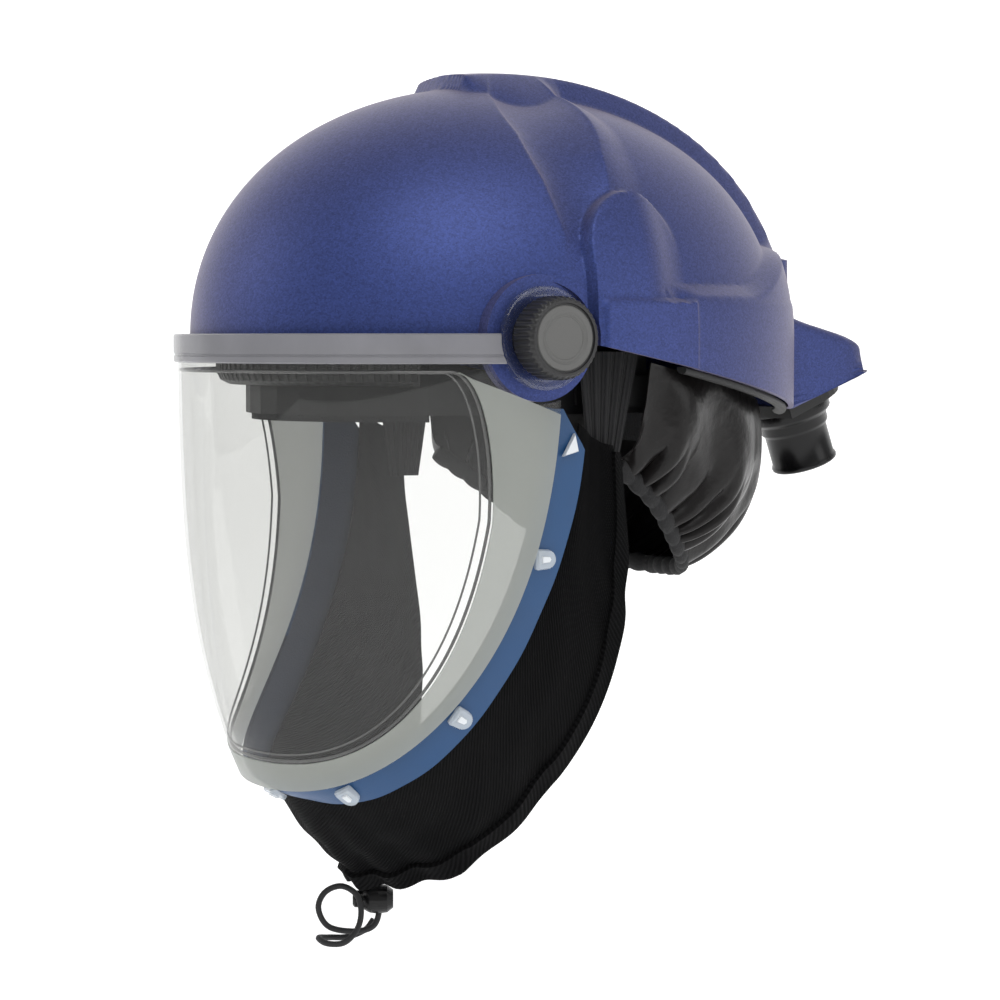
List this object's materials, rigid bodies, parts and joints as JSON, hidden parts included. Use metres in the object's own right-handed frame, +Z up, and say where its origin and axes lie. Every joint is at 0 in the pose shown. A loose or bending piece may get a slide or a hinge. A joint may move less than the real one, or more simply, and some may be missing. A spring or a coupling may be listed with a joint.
{
  "type": "powered air respirator headtop",
  "caption": "Powered air respirator headtop: blue bump-cap helmet with rear hose inlet, lift-up clear visor, blue gasket, cloth face seal with drawcord and gathered neck cape.",
  "frame": {"origin": "on the visor's pivot axis, midway between the two side knobs, inside the wearer's head", "axes": "+Z up, -Y the way the wearer faces, +X the wearer's left"},
  "size_m": [0.2522, 0.362, 0.4082],
  "materials": {
    "shell_paint": "metallic satin blue paint with a fine sparkle, over moulded plastic",
    "black_plastic": "satin black moulded plastic",
    "grey_plastic": "matt dark grey plastic",
    "edge_rubber": "matt dark grey rubber edging",
    "foam": "black cloth-faced foam",
    "clear_visor": "clear thin polycarbonate",
    "frosted_visor": "frosted translucent polycarbonate",
    "clear_clip": "clear moulded plastic",
    "blue_vinyl": "soft matt blue vinyl",
    "black_twill": "black woven twill",
    "strap_webbing": "black webbing",
    "coated_nylon": "shiny dark coated nylon",
    "rib_knit": "black ribbed stretch knit",
    "cord_elastic": "black elastic cord",
    "steel": "plain turned steel"
  },
  "bodies": {
    "helmet": {"brow_duct": "black_plastic", "brow_pad": "foam", "cape_hem": "black_twill", "crown_pad": "foam", "crown_strap_cross": "strap_webbing", "crown_strap_fore": "strap_webbing", "ear_gusset_left": "rib_knit", "ear_gusset_right": "rib_knit", "edge_trim_left": "edge_rubber", "edge_trim_right": "edge_rubber", "hanger_plate_left": "black_plastic", "hanger_plate_right": "black_plastic", "headband": "black_plastic", "inner_liner": "black_plastic", "neck_cape": "coated_nylon", "outer_shell": "shell_paint", "pivot_stud_left": "steel", "pivot_stud_right": "steel", "pivot_washer_left": "black_plastic", "pivot_washer_right": "black_plastic", "plenum_seal_left": "foam", "plenum_seal_right": "foam", "rear_base": "black_plastic"},
    "visor": {"visor_lens": "clear_visor", "visor_border": "frosted_visor", "visor_frame": "frosted_visor", "edge_gasket": "blue_vinyl", "face_seal": "black_twill", "drawcord_casing": "black_twill", "drawcord": "cord_elastic", "cord_lock_body": "black_plastic", "gasket_clip_1_left": "clear_clip", "gasket_clip_1_right": "clear_clip", "gasket_clip_2_left": "clear_clip", "gasket_clip_2_right": "clear_clip", "gasket_clip_3_left": "clear_clip", "gasket_clip_3_right": "clear_clip", "gasket_clip_chin": "clear_clip", "gasket_hook_left": "clear_clip", "gasket_hook_right": "clear_clip"},
    "lock_plunger": {"lock_plunger": "black_plastic"},
    "knob_left": {"knob_left": "black_plastic", "knob_cap_left": "grey_plastic"},
    "knob_right": {"knob_right": "black_plastic", "knob_cap_right": "grey_plastic"},
    "nape_unit": {"nape_band": "black_plastic", "ratchet_housing": "black_plastic", "nape_pad": "foam"},
    "ratchet_knob": {"ratchet_knob": "grey_plastic"},
    "hose_inlet": {"hose_spigot": "black_plastic"}
  },
  "joints": [
    {"name": "visor_lift", "type": "hinge", "parent": "helmet", "child": "visor", "pos_m": [0, 0, 0], "axis": [-1, 0, 0], "range_deg": [0, 72]},
    {"name": "knob_left_turn", "type": "hinge", "parent": "helmet", "child": "knob_left", "pos_m": [0.119, 0, 0], "axis": [1, 0, 0], "range_deg": [0, 270]},
    {"name": "knob_right_turn", "type": "hinge", "parent": "helmet", "child": "knob_right", "pos_m": [-0.119, 0, 0], "axis": [-1, 0, 0], "range_deg": [0, 270]},
    {"name": "nape_slide", "type": "slide", "parent": "helmet", "child": "nape_unit", "axis": [0, 1, 0], "range_m": [-0.015, 0.008]},
    {"name": "ratchet_turn", "type": "hinge", "parent": "nape_unit", "child": "ratchet_knob", "pos_m": [0, 0.135, -0.036], "axis": [0, 1, 0], "range_deg": [-136, 74]},
    {"name": "inlet_swivel", "type": "hinge", "parent": "helmet", "child": "hose_inlet", "pos_m": [0, 0.22, -0.031], "axis": [0, 0.3387, -0.9409], "continuous": true},
    {"name": "lock_press", "type": "slide", "parent": "visor", "child": "lock_plunger", "axis": [0.5, 0.866, 0], "range_m": [0, 0.003], "stiffness_N_per_m": 600, "springref_m": -0.002}
  ],
  "couplings": [
    {"joint": "ratchet_turn", "follows": "nape_slide", "rad_per_m": 157}
  ]
}
